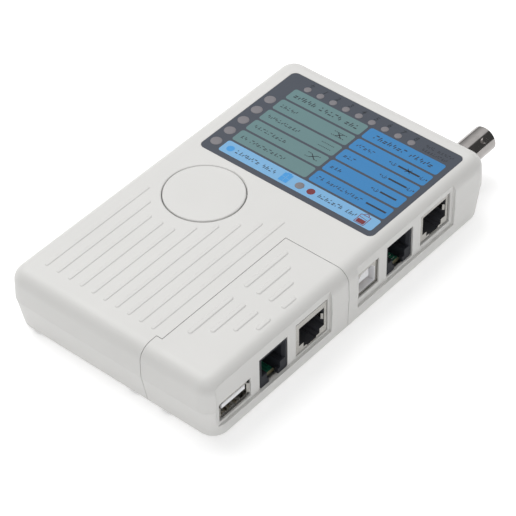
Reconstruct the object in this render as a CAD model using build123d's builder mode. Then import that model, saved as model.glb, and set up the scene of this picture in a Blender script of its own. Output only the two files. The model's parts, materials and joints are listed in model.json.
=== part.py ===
from build123d import *
import os

# Network cable tester: a hand-held main unit with a printed LED panel, and a remote unit that
# fills the corner bay of the main unit and slides off it along a rail.
#
# Millimetres. X is the width, and the side sockets face +X. Y is the length, and the coaxial
# socket points to +Y. Z is up. The origin is the centre of the face that the tester rests on.

os.makedirs("parts", exist_ok=True)

# ---- case ----
BODY_W = 86.6             # over the parting plane, where the case is widest
BODY_L = 143.7
BODY_H = 25.5
PARTING_Z = 13.3          # plane where the upper and lower shells meet
CORNER_R = 6.2            # upright corners, in plan
TOP_R = 5.2               # rounding of the upper rim
BOTTOM_R = 2.5            # rounding of the lower rim
TOP_SET_BACK = (0.4, 0.1)      # how far the top stands back from the parting outline, along X and Y
BOTTOM_SET_BACK = (0.4, 2.6)   # the same for the bottom
WALL = 2.0
CEILING_Z = BODY_H - 2.2  # underside of the top wall
FLOOR_Z = 2.0             # upper side of the bottom wall
LOWER_STEP = 0.12         # the lower shell is this much smaller at the parting plane

# ---- remote unit's bay ----
BAY_X = 17.0              # long seam
BAY_Y = -4.1              # far seam
FLANGE_X = 14.7           # the remote's end flange reaches past the long seam to here
FLANGE_Y = -63.8
SEAM = 0.1                # each unit stands this far back from the seam line

# ---- slide rail ----
RAIL_FROM_Y = -60.0
RAIL_TO_Y = -8.0
RAIL_Z = 8.0
NECK_H = 3.6
HEAD_H = 6.8
NECK_END_X = 19.6
HEAD_END_X = 21.0
RAIL_PLAY = 0.2

# ---- printed panel ----
PANEL_X = (-35.4, 38.2)
PANEL_Y = (13.3, 64.3)
PANEL_R = 2.2
PANEL_RECESS = 0.3
PANEL_T = 0.25
PANEL_TOP_Z = BODY_H - PANEL_RECESS + PANEL_T

# ---- lamps ----
PIN_LED_X = [-25.5 + 5.62 * i for i in range(9)]
PIN_LED_Y = 59.3
STATUS_LED_X = -32.2
STATUS_LED_Y = [47.0 - 7.08 * i for i in range(5)]
BATTERY_LED = (4.2, 18.6)
PIN_SPOTS = [(x, PIN_LED_Y) for x in PIN_LED_X]
STATUS_SPOTS = [(STATUS_LED_X, y) for y in STATUS_LED_Y]
LED_TIP_Z = BODY_H - 0.6

# ---- test button ----
BUTTON = (-17.7, -4.2)
BUTTON_HOLE_D = 28.4
BUTTON_D = 27.8
BUTTON_RIM_R = 0.5
BUTTON_EDGE_R = 0.4
BUTTON_TRAVEL = 0.8

# ---- grip ribs ----
RIB_SLOPE = 55.0          # degrees that the sides of a rib lean inwards
RIB_ROOT = 0.5            # a rib reaches this far down into the top wall
MAIN_RIB = dict(width=1.5, height=0.2)
REMOTE_RIB = dict(width=1.9, height=0.26)

# ---- boards ----
BOARD_T = 1.6
BOARD_EDGE_X = 39.0
MAIN_BOARD_Z = 7.6        # upper face of the main board
DISPLAY_BOARD_Z = 16.9    # upper face of the display board
REMOTE_BOARD_Z = 6.3      # upper face of the remote board

# ---- sockets: centre along Y, base height, and how far the face stands behind SIDE_X ----
SIDE_X = 42.1             # floor of the shallow pocket round the sockets
MAIN_POCKET = (0.9, 52.8, 6.3)       # from y, to y, from z
REMOTE_POCKET = (-68.2, -12.6, 6.0)
MAIN_RJ45 = dict(y=43.2, z=8.7, face=SIDE_X - 0.5)
MAIN_RJ11 = dict(y=24.0, z=MAIN_BOARD_Z, face=SIDE_X - 0.5)
USB_B = dict(y=7.4, z=8.5, face=SIDE_X - 0.7)
REMOTE_RJ45 = dict(y=-21.6, z=7.2, face=SIDE_X - 0.1)
REMOTE_RJ11 = dict(y=-40.5, z=REMOTE_BOARD_Z, face=SIDE_X - 0.1)
USB_A = dict(y=-59.1, z=8.3, face=SIDE_X - 0.1)
RJ45_W, RJ45_H, RJ45_DEPTH = 15.5, 13.2, 16.5
RJ11_W, RJ11_H, RJ11_DEPTH = 13.3, 12.7, 16.0
USB_B_W, USB_B_H, USB_B_DEPTH = 12.0, 10.9, 16.0
USB_A_W, USB_A_H, USB_A_DEPTH = 13.1, 5.8, 14.0
SHEET = 0.3               # thickness of the socket shields

# ---- coaxial socket ----
BNC_X = 29.0
BNC_D = 9.65
BNC_END_Y = 89.1
BNC_HOLE_D = 10.1
LUG_ANGLE = 50.0          # degrees from +X towards +Z

# ---- battery and its door ----
BATTERY_X = (-35.4, 11.0)
BATTERY_Y = (-61.3, -34.8)
BATTERY_Z = (2.3, 19.8)
STUD_SPACING = 12.7
DOOR_X = (-37.6, 12.9)
DOOR_Y = (-62.2, -33.9)
DOOR_Z = (0.1, 1.9)
DOOR_GAP = 0.2

# ---- screws ----
SCREW_D = 2.8
SCREW_HEAD_D = 5.6
SCREW_SEAT_Z = 3.6
MAIN_SCREWS = [(-34.0, -66.0), (8.0, -66.0), (-34.5, 66.0), (18.0, 66.0)]
REMOTE_SCREWS = [(21.8, -66.2), (30.0, -10.2)]
BOARD_SCREW_D = 1.8
MAIN_BOARD_SCREWS = [(-36.0, 4.0), (18.0, 4.0), (-36.0, 58.0), (14.0, 58.0)]
DISPLAY_BOARD_SCREWS = [(-36.0, 54.0), (18.5, 50.0), (-36.0, -8.5), (11.5, -8.5)]

UP = (Align.CENTER, Align.CENTER, Align.MIN)
DOWN = (Align.CENTER, Align.CENTER, Align.MAX)


def save(builder, name):
    """Names the finished piece and writes it to parts/."""
    builder.part.label = name
    export_step(builder.part, f"parts/{name}.step")


def box_between(x, y, z, mode=Mode.ADD):
    """Adds a box that spans the given ranges."""
    with Locations(((x[0] + x[1]) / 2, (y[0] + y[1]) / 2, (z[0] + z[1]) / 2)):
        Box(x[1] - x[0], y[1] - y[0], z[1] - z[0], mode=mode)


def pegs(spots, diameter, z_low, z_high, mode=Mode.ADD):
    """Adds an upright cylinder at each (x, y) spot."""
    with Locations(*[(x, y, z_low) for x, y in spots]):
        Cylinder(diameter / 2, z_high - z_low, align=UP, mode=mode)


# =====================================================================================
# Case blanks
# =====================================================================================

def case_half(inset, z_end, edge_radius, set_back):
    """One half of the case as a solid, from the parting plane to z_end, made smaller by inset."""
    width, length = BODY_W - 2 * inset, BODY_L - 2 * inset
    with BuildPart() as half:
        with BuildSketch(Plane.XY.offset(PARTING_Z)):
            RectangleRounded(width, length, CORNER_R - inset)
        with BuildSketch(Plane.XY.offset(z_end)):
            RectangleRounded(width - 2 * set_back[0], length - 2 * set_back[1], CORNER_R - inset)
        loft(ruled=True)
        end_face = half.faces().filter_by(Axis.Z).sort_by_distance((0, 0, z_end))[0]
        fillet(end_face.edges(), edge_radius)
    return half.part


def bay_outline(grow):
    """Plan outline of the remote unit's bay. A positive grow moves the seams into the main unit."""
    return [
        (BAY_X - grow, BAY_Y + grow),
        (BODY_W, BAY_Y + grow),
        (BODY_W, -BODY_L),
        (FLANGE_X - grow, -BODY_L),
        (FLANGE_X - grow, FLANGE_Y + grow),
        (BAY_X - grow, FLANGE_Y + grow),
    ]


def trimmed(solid, grow, trim):
    """The solid with the bay outline cut away from it, or with only the bay outline kept."""
    with BuildPart() as result:
        add(solid)
        with BuildSketch():
            Polygon(*bay_outline(grow), align=None)
        extrude(amount=BODY_H + 1, mode=trim)
    return result.part


def hollow_half(outer, cavity, side):
    """One shell half of a unit. The side is +1 for the main unit and -1 for the remote unit."""
    trim = Mode.SUBTRACT if side > 0 else Mode.INTERSECT
    with BuildPart() as half:
        add(trimmed(outer, side * SEAM, trim))
        add(trimmed(cavity, side * (SEAM + WALL), trim), mode=Mode.SUBTRACT)
    return half.part


UPPER_BLOCK = case_half(0, BODY_H, TOP_R, TOP_SET_BACK)
UPPER_CAVITY = case_half(WALL, CEILING_Z, TOP_R - WALL, TOP_SET_BACK)
LOWER_BLOCK = case_half(LOWER_STEP, 0, BOTTOM_R, BOTTOM_SET_BACK)
LOWER_CAVITY = case_half(WALL, FLOOR_Z, BOTTOM_R - WALL, BOTTOM_SET_BACK)


def cut_pocket(pocket):
    """Cuts the shallow flat pocket round the side sockets."""
    from_y, to_y, from_z = pocket
    box_between((SIDE_X, BODY_W), (from_y, to_y), (from_z, BODY_H), mode=Mode.SUBTRACT)


def cut_window(socket, width, height, play_side, play_top, play_bottom, to_x=BODY_W):
    """Cuts the window of one side socket through the case wall, as far out as to_x."""
    half_width = width / 2 + play_side
    box_between(
        (SIDE_X - 6, to_x),
        (socket["y"] - half_width, socket["y"] + half_width),
        (socket["z"] - play_bottom, socket["z"] + height + play_top),
        mode=Mode.SUBTRACT,
    )


def cut_main_openings():
    """Side windows and the coaxial hole, cut alike in both main shells."""
    cut_pocket(MAIN_POCKET)
    # a thin lip of the case hides the upper edge of the eight-way jack, which stands behind it
    cut_window(MAIN_RJ45, RJ45_W, RJ45_H, 0.3, -0.5, 0.3)
    cut_window(MAIN_RJ45, RJ45_W, RJ45_H, 0.3, 0.2, 0.3, to_x=MAIN_RJ45["face"] + 0.1)
    cut_window(MAIN_RJ11, RJ11_W, RJ11_H, 0.3, 0.2, 0.1)
    # the lip also hides the two sides and the lower edge of the USB socket
    cut_window(USB_B, USB_B_W, USB_B_H, -0.55, 0.15, -0.35)
    cut_window(USB_B, USB_B_W, USB_B_H, 0.25, 0.15, 0.25, to_x=USB_B["face"] + 0.1)
    with Locations((BNC_X, BODY_L / 2, PARTING_Z)):
        Cylinder(BNC_HOLE_D / 2, 12, rotation=(90, 0, 0), mode=Mode.SUBTRACT)


def cut_remote_openings():
    """Side windows, cut alike in both remote shells."""
    cut_pocket(REMOTE_POCKET)
    cut_window(REMOTE_RJ45, RJ45_W, RJ45_H, 0.2, 0.25, 0.15)
    cut_window(REMOTE_RJ11, RJ11_W, RJ11_H, 0.2, 0.2, 0.1)
    cut_window(USB_A, USB_A_W, USB_A_H, 0.9, 0.9, 0.9)


def grip_ribs(ribs, width, height):
    """Low grip ribs with sloping sides on the top face. Each rib is (x, near y, far y)."""
    with BuildPart() as raised:
        with BuildSketch(Plane.XY.offset(BODY_H)) as outline:
            for x, near_y, far_y in ribs:
                with Locations((x, (near_y + far_y) / 2)):
                    SlotOverall(far_y - near_y, width, rotation=90)
        extrude(outline.sketch, amount=-RIB_ROOT)
        extrude(outline.sketch, amount=height, taper=RIB_SLOPE)
    return raised.part


# =====================================================================================
# Main unit: shells, panel, button, door
# =====================================================================================

RIB_PITCH = 5.06
RIB_NEAR_Y = -62.6
RIB_ARC_Y = -23.3         # far ends of the three ribs right below the button
RIB_STEPS = [2, 1, 0, 0, 0, 1, 2, 3, 4, 5]
MAIN_RIBS = [(-34.0 + RIB_PITCH * i, RIB_NEAR_Y, RIB_ARC_Y + 5.0 * step)
             for i, step in enumerate(RIB_STEPS)]

with BuildPart() as main_upper_shell:
    add(hollow_half(UPPER_BLOCK, UPPER_CAVITY, +1))
    add(grip_ribs(MAIN_RIBS, **MAIN_RIB))
    pegs(MAIN_SCREWS, 6.4, PARTING_Z, CEILING_Z + 0.4)
    pegs(DISPLAY_BOARD_SCREWS, 4.6, DISPLAY_BOARD_Z, CEILING_Z + 0.4)
    # shallow recess that the printed panel lies in
    with BuildSketch(Plane.XY.offset(BODY_H)):
        with Locations((sum(PANEL_X) / 2, sum(PANEL_Y) / 2)):
            RectangleRounded(PANEL_X[1] - PANEL_X[0] + 0.2, PANEL_Y[1] - PANEL_Y[0] + 0.2, PANEL_R)
    extrude(amount=-PANEL_RECESS, mode=Mode.SUBTRACT)
    # light holes under the panel
    pegs(PIN_SPOTS + [BATTERY_LED], 3.4, CEILING_Z - 1, BODY_H, mode=Mode.SUBTRACT)
    pegs(STATUS_SPOTS, 5.4, CEILING_Z - 1, BODY_H, mode=Mode.SUBTRACT)
    # button hole with a rounded rim
    pegs([BUTTON], BUTTON_HOLE_D, CEILING_Z - 1, BODY_H, mode=Mode.SUBTRACT)
    button_rim = (
        main_upper_shell.edges().filter_by(GeomType.CIRCLE)
        .sort_by_distance((BUTTON[0] + BUTTON_HOLE_D / 2, BUTTON[1], BODY_H))[0]
    )
    fillet(button_rim, BUTTON_RIM_R)
    # pilot holes for the case screws and the display board screws
    pegs(MAIN_SCREWS, SCREW_D, PARTING_Z, PARTING_Z + 7, mode=Mode.SUBTRACT)
    pegs(DISPLAY_BOARD_SCREWS, BOARD_SCREW_D, DISPLAY_BOARD_Z, DISPLAY_BOARD_Z + 5, mode=Mode.SUBTRACT)
    cut_main_openings()
save(main_upper_shell, "main_upper_shell")

with BuildPart() as main_lower_shell:
    add(hollow_half(LOWER_BLOCK, LOWER_CAVITY, +1))
    pegs(MAIN_SCREWS, 7.4, 0.4, PARTING_Z)
    add(LOWER_BLOCK, mode=Mode.INTERSECT)
    pegs(MAIN_BOARD_SCREWS, 5.0, FLOOR_Z - 0.4, MAIN_BOARD_Z - BOARD_T)
    # ribs that hold the battery along its two long sides
    for y in (BATTERY_Y[0] - 1.1, BATTERY_Y[1] + 1.1):
        box_between((-36.0, 8.0), (y - 0.6, y + 0.6), (FLOOR_Z - 0.4, 12.0))
    # door opening
    box_between(
        (DOOR_X[0] - DOOR_GAP, DOOR_X[1] + DOOR_GAP),
        (DOOR_Y[0] - DOOR_GAP, DOOR_Y[1] + DOOR_GAP),
        (-1, FLOOR_Z + 0.05),
        mode=Mode.SUBTRACT,
    )
    # screw holes, entered from below
    pegs(MAIN_SCREWS, SCREW_D + 0.4, 0, PARTING_Z, mode=Mode.SUBTRACT)
    pegs(MAIN_SCREWS, SCREW_HEAD_D + 0.4, -1, SCREW_SEAT_Z, mode=Mode.SUBTRACT)
    pegs(MAIN_BOARD_SCREWS, BOARD_SCREW_D, FLOOR_Z, MAIN_BOARD_Z, mode=Mode.SUBTRACT)
    # T-shaped rail on the bay wall
    bay_wall_x = BAY_X - SEAM - 0.5
    rail_y = (RAIL_FROM_Y, RAIL_TO_Y)
    box_between((bay_wall_x, NECK_END_X), rail_y, (RAIL_Z - NECK_H / 2, RAIL_Z + NECK_H / 2))
    box_between((NECK_END_X, HEAD_END_X), rail_y, (RAIL_Z - HEAD_H / 2, RAIL_Z + HEAD_H / 2))
    cut_main_openings()
save(main_lower_shell, "main_lower_shell")

with BuildPart() as panel_label:
    with BuildSketch(Plane.XY.offset(PANEL_TOP_Z - PANEL_T)):
        with Locations((sum(PANEL_X) / 2, sum(PANEL_Y) / 2)):
            RectangleRounded(PANEL_X[1] - PANEL_X[0], PANEL_Y[1] - PANEL_Y[0], PANEL_R)
        with Locations(*PIN_SPOTS):
            Circle(2.75 / 2, mode=Mode.SUBTRACT)
        with Locations(*STATUS_SPOTS):
            Circle(4.15 / 2, mode=Mode.SUBTRACT)
        with Locations(BATTERY_LED):
            Circle(3.3 / 2, mode=Mode.SUBTRACT)
    extrude(amount=PANEL_T)
save(panel_label, "panel_label")

with BuildPart() as panel_windows:
    pegs(PIN_SPOTS, 2.75, PANEL_TOP_Z - PANEL_T, PANEL_TOP_Z)
    pegs(STATUS_SPOTS, 4.15, PANEL_TOP_Z - PANEL_T, PANEL_TOP_Z)
    pegs([BATTERY_LED], 3.3, PANEL_TOP_Z - PANEL_T, PANEL_TOP_Z)
save(panel_windows, "panel_windows")

# The cap: a face, a skirt with a retaining flange under the top wall, and a post on the switch.
CAP_TOP_Z = BODY_H + 0.15
CAP_FLANGE_Z = (CEILING_Z - 1.1, CEILING_Z - 0.2)
SWITCH_TOP_Z = 20.5
PLUNGER_TOP_Z = SWITCH_TOP_Z + BUTTON_TRAVEL + 1.0

with BuildPart() as button_cap:
    pegs([BUTTON], BUTTON_D, CAP_FLANGE_Z[0], CAP_TOP_Z)
    fillet(button_cap.faces().sort_by(Axis.Z)[-1].edges(), BUTTON_EDGE_R)
    pegs([BUTTON], BUTTON_D + 2.4, *CAP_FLANGE_Z)
    pegs([BUTTON], BUTTON_D - 3.0, CAP_FLANGE_Z[0], CAP_TOP_Z - 1.6, mode=Mode.SUBTRACT)
    pegs([BUTTON], 5.0, PLUNGER_TOP_Z, CAP_TOP_Z - 1.5)
    # stiffening ribs under the face
    for angle in (0, 90):
        with Locations(Location((BUTTON[0], BUTTON[1], CAP_TOP_Z - 1.5), (0, 0, angle))):
            Box(BUTTON_D - 2.0, 1.0, 1.2, align=DOWN)
save(button_cap, "button_cap")

with BuildPart() as switch_body:
    with Locations((*BUTTON, DISPLAY_BOARD_Z)):
        Box(6.2, 6.2, SWITCH_TOP_Z - DISPLAY_BOARD_Z, align=UP)
    chamfer(switch_body.edges().filter_by(Axis.Z), 0.4)
    pegs([BUTTON], 3.6, DISPLAY_BOARD_Z + 0.4, SWITCH_TOP_Z, mode=Mode.SUBTRACT)
save(switch_body, "switch_body")

with BuildPart() as switch_plunger:
    pegs([BUTTON], 3.45, SWITCH_TOP_Z - 2.2, PLUNGER_TOP_Z)
    chamfer(switch_plunger.faces().sort_by(Axis.Z)[-1].edges(), 0.3)
save(switch_plunger, "switch_plunger")

with BuildPart() as battery_door:
    box_between(DOOR_X, DOOR_Y, DOOR_Z)
    fillet(battery_door.edges().filter_by(Axis.Z), 1.0)
    # two tongues that hook over the bottom wall and make the hinge
    for y in (DOOR_Y[0] + 6.0, DOOR_Y[1] - 6.0):
        box_between((DOOR_X[0], DOOR_X[0] + 1.2), (y - 2.5, y + 2.5), (DOOR_Z[1] - 0.2, 3.0))
        box_between((DOOR_X[0] - 1.7, DOOR_X[0] + 0.2), (y - 2.5, y + 2.5), (2.15, 3.0))
    # spring latch: a tab cut free on both sides, with an upright catch at its end
    door_mid_y = sum(DOOR_Y) / 2
    for side in (-1, 1):
        y = door_mid_y + side * 5.5
        box_between((DOOR_X[1] - 7.0, DOOR_X[1] + 1), (y - 0.4, y + 0.4), (-1, 4), mode=Mode.SUBTRACT)
    box_between((DOOR_X[1] - 1.2, DOOR_X[1]), (door_mid_y - 3, door_mid_y + 3), (DOOR_Z[1] - 0.2, 3.4))
    # finger grooves on the outside
    for i in range(4):
        x = DOOR_X[1] - 10.0 - 1.8 * i
        groove_y = (door_mid_y - 6, door_mid_y + 6)
        box_between((x - 0.45, x + 0.45), groove_y, (-1, DOOR_Z[0] + 0.5), mode=Mode.SUBTRACT)
save(battery_door, "battery_door")


# =====================================================================================
# Main unit: boards and what stands on them
# =====================================================================================

HEADER = (-4.0, 8.0)      # centre of the board-to-board connector
HEADER_PINS = 8
PIN_PITCH = 2.54
HEADER_SPOTS = [(HEADER[0] + PIN_PITCH * (i - (HEADER_PINS - 1) / 2), HEADER[1]) for i in range(HEADER_PINS)]


def leg_spots(spots):
    """Two leg positions for each lamp."""
    return [(x + side * PIN_PITCH / 2, y) for x, y in spots for side in (-1, 1)]


LED_LEGS = leg_spots(PIN_SPOTS + [BATTERY_LED] + STATUS_SPOTS)

with BuildPart() as main_board:
    box_between((-39.0, BOARD_EDGE_X), (0.5, 62.0), (MAIN_BOARD_Z - BOARD_T, MAIN_BOARD_Z))
    pegs(MAIN_BOARD_SCREWS, BOARD_SCREW_D + 0.4, 0, BODY_H, mode=Mode.SUBTRACT)
save(main_board, "main_board")

# The display board stops short of the coaxial socket's block, and its near end of the bay wall.
with BuildPart() as display_board:
    board_z = (DISPLAY_BOARD_Z - BOARD_T, DISPLAY_BOARD_Z)
    box_between((-38.6, 21.4), (-1.5, 62.2), board_z)
    box_between((-38.6, 14.0), (-11.6, -1.5), board_z)
    pegs(DISPLAY_BOARD_SCREWS, BOARD_SCREW_D + 0.4, 0, BODY_H, mode=Mode.SUBTRACT)
    pegs(LED_LEGS, 0.8, 0, BODY_H, mode=Mode.SUBTRACT)
save(display_board, "display_board")


def led_group(spots, lens_d, flange_d, base_z):
    """Round LEDs with a domed tip and a flange at the base."""
    with BuildPart() as leds:
        pegs(spots, flange_d, base_z, base_z + 1.0)
        pegs(spots, lens_d, base_z, LED_TIP_Z - lens_d / 2)
        with Locations(*[(x, y, LED_TIP_Z - lens_d / 2) for x, y in spots]):
            Sphere(lens_d / 2)
    return leds


PIN_LED_BASE_Z = LED_TIP_Z - 5.3
STATUS_LED_BASE_Z = DISPLAY_BOARD_Z

pin_leds = led_group(PIN_SPOTS, 2.9, 3.7, PIN_LED_BASE_Z)
save(pin_leds, "pin_leds")

battery_led = led_group([BATTERY_LED], 2.9, 3.7, PIN_LED_BASE_Z)
save(battery_led, "battery_led")

status_leds = led_group(STATUS_SPOTS, 4.9, 5.7, STATUS_LED_BASE_Z)
save(status_leds, "status_leds")

with BuildPart() as led_legs:
    for spots, top_z in ((PIN_SPOTS + [BATTERY_LED], PIN_LED_BASE_Z), (STATUS_SPOTS, STATUS_LED_BASE_Z)):
        bottom_z = DISPLAY_BOARD_Z - BOARD_T - 0.8
        with Locations(*[(x, y, bottom_z) for x, y in leg_spots(spots)]):
            Box(0.5, 0.5, top_z - bottom_z, align=UP)
save(led_legs, "led_legs")

# board-to-board connector: pins standing on the main board, socket hanging from the display board
HEADER_BASE_H = 2.5
SOCKET_H = 5.0
DISPLAY_UNDER_Z = DISPLAY_BOARD_Z - BOARD_T

with BuildPart() as board_header:
    with Locations((*HEADER, MAIN_BOARD_Z)):
        Box(HEADER_PINS * PIN_PITCH, PIN_PITCH, HEADER_BASE_H, align=UP)
    with Locations(*[(x, y, MAIN_BOARD_Z) for x, y in HEADER_SPOTS]):
        Box(0.64, 0.64, HEADER_BASE_H, align=UP, mode=Mode.SUBTRACT)
save(board_header, "board_header")

with BuildPart() as header_pins:
    with Locations(*[(x, y, MAIN_BOARD_Z) for x, y in HEADER_SPOTS]):
        Box(0.64, 0.64, 6.4, align=UP)
save(header_pins, "header_pins")

with BuildPart() as board_socket:
    with Locations((*HEADER, DISPLAY_UNDER_Z)):
        Box(HEADER_PINS * PIN_PITCH, PIN_PITCH, SOCKET_H, align=DOWN)
    with Locations(*[(x, y, DISPLAY_UNDER_Z - SOCKET_H) for x, y in HEADER_SPOTS]):
        Box(0.8, 0.8, 4.4, align=UP, mode=Mode.SUBTRACT)
save(board_socket, "board_socket")

# chips: centre, length along X, width along Y, number of leads on each long side
CHIPS = [((-16.0, 26.0), 18.0, 7.5, 14), ((-16.0, 42.0), 10.0, 4.0, 8), ((4.0, 42.0), 10.0, 4.0, 8)]
CHIP_LIFT = 0.2
CHIP_H = 2.0
# a lead's side view, out of the package, down, and flat on the board: (outwards, upwards)
GULL_WING = [(0, 1.0), (0.7, 1.0), (1.0, 0), (1.6, 0), (1.6, 0.2), (1.2, 0.2), (0.9, 1.2), (0, 1.2)]

with BuildPart() as chip_packages:
    for centre, length, width, _ in CHIPS:
        with Locations((*centre, MAIN_BOARD_Z + CHIP_LIFT)):
            Box(length, width, CHIP_H, align=UP)
    chamfer(chip_packages.faces().group_by(Axis.Z)[-1].edges(), 0.3)
save(chip_packages, "chip_packages")

with BuildPart() as chip_leads:
    for (x, y), _, width, count in CHIPS:
        for side in (-1, 1):
            for i in range(count):
                lead_x = x + 1.27 * (i - (count - 1) / 2)
                root_y = y + side * width / 2
                with BuildSketch(Plane.YZ.offset(lead_x)):
                    with BuildLine():
                        Polyline(*[(root_y + side * out, MAIN_BOARD_Z + up) for out, up in GULL_WING], close=True)
                    make_face()
                extrude(amount=0.2, both=True)
save(chip_leads, "chip_leads")

CRYSTAL = (-31.0, 26.0)

with BuildPart() as crystal_can:
    with BuildSketch(Plane.XY.offset(MAIN_BOARD_Z)):
        with Locations(CRYSTAL):
            SlotOverall(10.8, 4.4, rotation=90)
    extrude(amount=3.4)
    fillet(crystal_can.faces().sort_by(Axis.Z)[-1].edges(), 0.6)
save(crystal_can, "crystal_can")

CAPACITORS = [(10.0, 26.0), (17.0, 26.0), (18.0, 14.0)]

with BuildPart() as capacitors:
    pegs(CAPACITORS, 5.0, MAIN_BOARD_Z, MAIN_BOARD_Z + 6.8)
    fillet(capacitors.edges().filter_by(GeomType.CIRCLE), 0.4)
save(capacitors, "capacitors")

RESISTOR_SPOTS = [(-30.0 + 5.0 * i, 16.5) for i in range(9)]

with BuildPart() as resistors:
    with Locations(*[(x, y, MAIN_BOARD_Z + 1.0) for x, y in RESISTOR_SPOTS]):
        Cylinder(0.9, 6.0, rotation=(90, 0, 0))
    fillet(resistors.edges().filter_by(GeomType.CIRCLE), 0.4)
save(resistors, "resistors")


# =====================================================================================
# Side sockets
# =====================================================================================

def contact_row(points, centre_y, count, pitch, width, thickness):
    """A row of bent flat contacts that follow the (x, z) points."""
    with BuildPart() as contact:
        with BuildSketch(Plane.XZ):
            with BuildLine():
                Polyline(*points)
            trace(line_width=thickness)
        extrude(amount=width / 2, both=True)
    with BuildPart() as row:
        with Locations(*[(0, centre_y + pitch * (i - (count - 1) / 2), 0) for i in range(count)]):
            add(contact.part)
    return row


def rj45_mouth(y, z):
    """Mouth of an eight-way jack: plug rectangle and the two steps of the latch notch."""
    with Locations((y, z + 7.0)):
        Rectangle(12.5, 7.6)
    with Locations((y, z + 2.35)):
        Rectangle(8.0, 2.1)
    with Locations((y, z + 1.15)):
        Rectangle(4.8, 1.1)


def rj45_contact_points(face, z):
    return [
        (face - 11.5, z + 8.0),
        (face - 3.0, z + 10.4),
        (face - 1.7, z + 11.6),
        (face - 14.8, z + 11.7),
        (face - 15.0, z),
    ]


def build_rj45(socket, prefix):
    """Shield, housing and contacts of one eight-way jack."""
    y, z, face = socket["y"], socket["z"], socket["face"]
    board_z = MAIN_BOARD_Z if y > BAY_Y else REMOTE_BOARD_Z
    contact_points = rj45_contact_points(face, z)
    contact_points[-1] = (contact_points[-1][0], board_z)
    contacts = contact_row(contact_points, y, 8, 1.02, 0.4, 0.3)
    save(contacts, f"{prefix}_rj45_contacts")

    finger_z = (z + 5.6, z + 8.0)
    with BuildPart() as shield:
        with BuildSketch(Plane.YZ.offset(face)):
            with Locations((y, z + RJ45_H / 2)):
                Rectangle(RJ45_W, RJ45_H)
        extrude(amount=-RJ45_DEPTH)
        front_edges = shield.edges().group_by(Axis.X)[-1]
        fillet(front_edges, SHEET)
        # hollow it out, open at the bottom
        box_between(
            (face - RJ45_DEPTH + SHEET, face - SHEET),
            (y - RJ45_W / 2 + SHEET, y + RJ45_W / 2 - SHEET),
            (z - 1, z + RJ45_H - SHEET),
            mode=Mode.SUBTRACT,
        )
        with BuildSketch(Plane.YZ.offset(face + 1)):
            rj45_mouth(y, z)
        extrude(amount=-3, mode=Mode.SUBTRACT)
        # spring fingers, bent inwards from both sides of the mouth
        for side in (-1, 1):
            edge_y = y + side * 6.25
            with BuildSketch(Plane.XY.offset(finger_z[0])):
                with BuildLine():
                    Polyline(
                        (face, edge_y + side * 0.3),
                        (face - 1.0, edge_y - side * 0.5),
                        (face - 4.5, edge_y + side * 0.3),
                        (face - 4.5, edge_y + side * 0.6),
                        (face - 1.0, edge_y - side * 0.2),
                        (face - SHEET, edge_y + side * 0.5),
                        close=True,
                    )
                make_face()
            extrude(amount=finger_z[1] - finger_z[0])
    save(shield, f"{prefix}_rj45_shield")

    with BuildPart() as housing:
        box_between(
            (face - RJ45_DEPTH + SHEET, face - SHEET),
            (y - RJ45_W / 2 + SHEET, y + RJ45_W / 2 - SHEET),
            (z + 0.2, z + RJ45_H - SHEET),
        )
        with BuildSketch(Plane.YZ.offset(face)):
            rj45_mouth(y, z)
        extrude(amount=-13.5, mode=Mode.SUBTRACT)
        # room for the spring fingers
        room_z = (finger_z[0] - 0.2, finger_z[1] + 0.2)
        box_between((face - 5.0, face), (y - 7.0, y + 7.0), room_z, mode=Mode.SUBTRACT)
        add(contacts.part, mode=Mode.SUBTRACT)
    save(housing, f"{prefix}_rj45_housing")


def rj11_mouth(y, z):
    """Mouth of a six-way jack: plug rectangle, latch notch and the slot that opens downwards."""
    with Locations((y, z + 8.15)):
        Rectangle(10.0, 6.5)
    with Locations((y, z + 3.6)):
        Rectangle(6.4, 3.0)
    with Locations((y, z + 1.1)):
        Rectangle(4.4, 2.4)


def build_rj11(socket, prefix):
    """Housing and contacts of one six-way jack."""
    y, z, face = socket["y"], socket["z"], socket["face"]
    contact_points = [
        (face - 10.5, z + 7.6),
        (face - 3.0, z + 11.0),
        (face - 1.7, z + 11.95),
        (face - 14.4, z + 12.1),
        (face - 14.6, z),
    ]
    contacts = contact_row(contact_points, y, 6, 1.02, 0.4, 0.3)
    save(contacts, f"{prefix}_rj11_contacts")

    with BuildPart() as housing:
        with BuildSketch(Plane.YZ.offset(face)):
            with Locations((y, z + RJ11_H / 2)):
                Rectangle(RJ11_W, RJ11_H)
        extrude(amount=-RJ11_DEPTH)
        lower_edges = housing.edges().filter_by(Axis.X).group_by(Axis.Z)[0]
        fillet(lower_edges, 1.0)
        with BuildSketch(Plane.YZ.offset(face)):
            rj11_mouth(y, z)
        extrude(amount=-13.0, mode=Mode.SUBTRACT)
        # wide, sloping entry of the plug rectangle
        with BuildSketch(Plane.YZ.offset(face)):
            with Locations((y, z + 8.35)):
                Rectangle(11.5, 7.3)
        extrude(amount=-1.0, taper=35, mode=Mode.SUBTRACT)
        # the latch slot widens behind the front wall, down to the board
        box_between((face - 13.0, face - 1.5), (y - 3.2, y + 3.2), (z - 1, z + 2.5), mode=Mode.SUBTRACT)
        add(contacts.part, mode=Mode.SUBTRACT)
    save(housing, f"{prefix}_rj11_housing")


build_rj45(MAIN_RJ45, "main")
build_rj11(MAIN_RJ11, "main")
build_rj45(REMOTE_RJ45, "remote")
build_rj11(REMOTE_RJ11, "remote")


def usb_b_mouth(y, z, width, height, corner):
    """Square mouth with two slanted upper corners."""
    half = width / 2
    Polygon(
        (y - half, z),
        (y + half, z),
        (y + half, z + height - corner),
        (y + half - corner, z + height),
        (y - half + corner, z + height),
        (y - half, z + height - corner),
        align=None,
    )


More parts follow.
